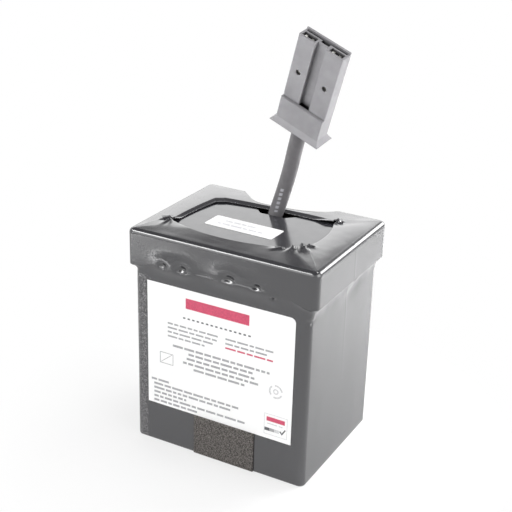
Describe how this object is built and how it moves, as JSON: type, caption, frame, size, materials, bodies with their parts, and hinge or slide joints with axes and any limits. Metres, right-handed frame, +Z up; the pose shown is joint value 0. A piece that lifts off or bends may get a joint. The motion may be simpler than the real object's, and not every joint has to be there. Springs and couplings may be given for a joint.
{
  "type": "ups battery cartridge",
  "caption": "Battery cartridge: sealed block in a black shrink sleeve with a wider cap, front label, foam pad, and a short cord with a grey two-pole connector.",
  "frame": {"origin": "middle of the base, on the surface that the cartridge stands on", "axes": "+X to the right along the label face, +Y from the label face to the rear, +Z up"},
  "size_m": [0.0974, 0.0738, 0.2009],
  "materials": {
    "black_film": "glossy shrink film",
    "cap_plastic": "glossy moulded",
    "case_plastic": "satin moulded",
    "valve_rubber": "matt",
    "positive_paste": "matt",
    "negative_paste": "matt",
    "glass_mat": "felted",
    "cast_lead": "dull cast",
    "tinned_brass": "tinned",
    "sealing_resin": "poured",
    "red_vinyl": "satin",
    "black_vinyl": "satin",
    "cord_vinyl": "satin extruded",
    "grey_moulding": "satin moulded",
    "silver_contact": "plated",
    "label_paper": "semi-gloss",
    "foam": "rough foam"
  },
  "bodies": {
    "root": {"shrink_sleeve": "black_film", "top_cap": "cap_plastic", "battery_container": "case_plastic", "battery_cover": "case_plastic", "vent_cover": "case_plastic", "valve_caps": "valve_rubber", "positive_plates": "positive_paste", "negative_plates": "negative_paste", "glass_mat_separators": "glass_mat", "cell_connectors": "cast_lead", "positive_post": "cast_lead", "negative_post": "cast_lead", "positive_tab": "tinned_brass", "negative_tab": "tinned_brass", "terminal_potting": "sealing_resin", "positive_receptacle": "tinned_brass", "negative_receptacle": "tinned_brass", "positive_boot": "red_vinyl", "negative_boot": "black_vinyl", "red_lead": "red_vinyl", "black_lead": "black_vinyl", "cord_jacket": "cord_vinyl", "red_core": "red_vinyl", "black_core": "black_vinyl", "connector_housing": "grey_moulding", "positive_contact": "silver_contact", "negative_contact": "silver_contact", "front_label": "label_paper", "deck_sticker": "label_paper", "foam_pad": "foam"}
  },
  "joints": []
}
